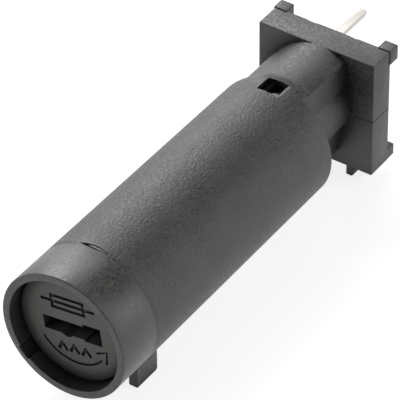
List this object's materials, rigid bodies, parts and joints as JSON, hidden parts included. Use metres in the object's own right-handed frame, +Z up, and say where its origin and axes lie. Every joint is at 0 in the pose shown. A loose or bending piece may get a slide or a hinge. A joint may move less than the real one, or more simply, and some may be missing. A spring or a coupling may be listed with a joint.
{
  "type": "cartridge fuse holder",
  "caption": "Round black cartridge fuse holder lying on short ribs, with a recessed slotted push-and-turn cap, a square rear flange with feet and flat solder pins.",
  "frame": {"origin": "middle of the bounding box's underside, which is the plane that the ribs and pegs rest on", "axes": "+Y runs along the barrel from the cap to the pins, +Z is up with the holder lying on its ribs, and +X is to the right when the cap is looked at"},
  "size_m": [0.0138, 0.0512, 0.015],
  "materials": {
    "housing_plastic": "fine spark-eroded matte",
    "cap_plastic": "smooth satin",
    "tinned_brass": "satin tin plate",
    "nickel_brass": "bright nickel plate",
    "spring_steel": "drawn wire",
    "clear_glass": "clear and smooth",
    "fuse_wire_metal": "bright drawn wire",
    "solder": "dull grey solder"
  },
  "bodies": {
    "holder": {"housing": "housing_plastic", "centre_terminal": "tinned_brass", "side_terminal": "tinned_brass", "plunger_spring": "spring_steel"},
    "plunger": {"contact_plunger": "nickel_brass"},
    "fuse": {"fuse_glass_tube": "clear_glass", "fuse_end_cap_front": "nickel_brass", "fuse_end_cap_rear": "nickel_brass", "fuse_wire": "fuse_wire_metal", "fuse_solder_front": "solder", "fuse_solder_rear": "solder"},
    "clip": {"fuse_clip": "tinned_brass", "clip_rivet": "nickel_brass"},
    "cap": {"bayonet_cap": "cap_plastic"}
  },
  "joints": [
    {"name": "plunger_travel", "type": "slide", "parent": "holder", "child": "plunger", "axis": [0, 1, 0], "range_m": [0, 0.0012], "stiffness_N_per_m": 2500, "deforming": ["plunger_spring"]},
    {"name": "fuse_withdraw", "type": "slide", "parent": "plunger", "child": "fuse", "axis": [0, -1, 0], "range_m": [0, 0.042]},
    {"name": "clip_pull_off", "type": "slide", "parent": "fuse", "child": "clip", "axis": [0, -1, 0], "range_m": [0, 0.009]},
    {"name": "cap_turn", "type": "hinge", "parent": "clip", "child": "cap", "pos_m": [0.00016, -0.0221, 0.00826], "axis": [0, 1, 0], "range_deg": [0, 60]}
  ]
}
